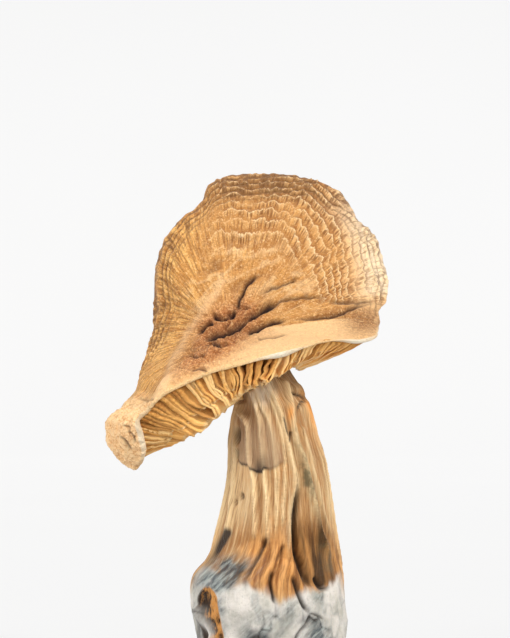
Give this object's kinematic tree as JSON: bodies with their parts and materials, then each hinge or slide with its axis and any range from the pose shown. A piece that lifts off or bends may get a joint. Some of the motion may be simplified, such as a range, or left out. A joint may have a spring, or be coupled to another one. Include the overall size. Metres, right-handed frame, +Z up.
{
  "type": "dried mushroom",
  "caption": "Dried mushroom standing on its trimmed stem: a thin cap tipped forward and down to one side, its near part broken away close to the stem, bared gills and a swollen foot.",
  "frame": {"origin": "middle of the foot's flat cut end, on the surface that it stands on", "axes": "+Z up along the stem, +X to the viewer's right, +Y away from the viewer; the cap's broken edge faces -Y and its drooping lobe is at -X"},
  "size_m": [0.0424, 0.0306, 0.0774],
  "materials": {
    "cap": "matt dried skin, wrinkled, yellow-brown with a red-brown pit and a cream broken edge",
    "gills": "matt thin dried plates, tan with pale free edges",
    "stem": "matt fibrous dried flesh, tan above and white at the foot with blue-grey bruises"
  },
  "bodies": {
    "root": {"cap": "cap", "gills": "gills", "stem": "stem"}
  },
  "joints": []
}
